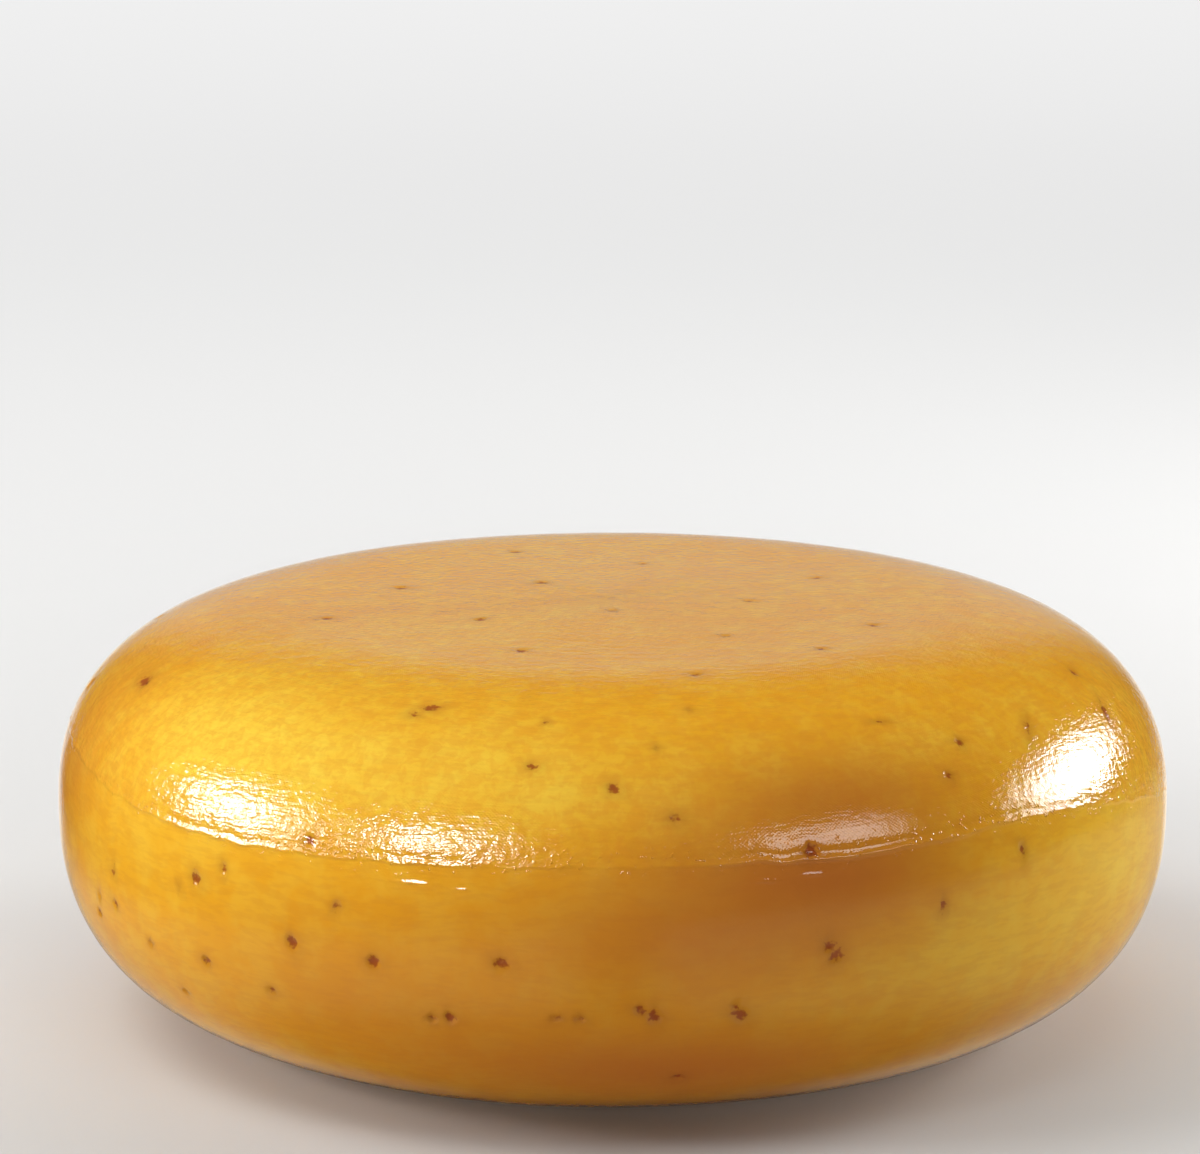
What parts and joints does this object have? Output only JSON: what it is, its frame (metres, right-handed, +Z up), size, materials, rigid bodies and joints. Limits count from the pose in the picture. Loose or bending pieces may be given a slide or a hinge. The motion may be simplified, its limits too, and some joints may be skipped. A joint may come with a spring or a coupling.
{
  "type": "cheese wheel",
  "caption": "Whole round cheese wheel with bulging sides, flat top and base, and a glossy yellow coating with small seed pits.",
  "frame": {"origin": "centre of the flat base, at the height of the surface that the wheel rests on", "axes": "+Z up along the wheel's axis, -Y towards the front that the picture shows, +X to the viewer's right"},
  "size_m": [0.3401, 0.3404, 0.1255],
  "materials": {
    "rind_coating": "brushed-on yellow coating, glossy, slightly mottled, with small brown seed marks"
  },
  "bodies": {
    "root": {"cheese_wheel": "rind_coating"}
  },
  "joints": []
}
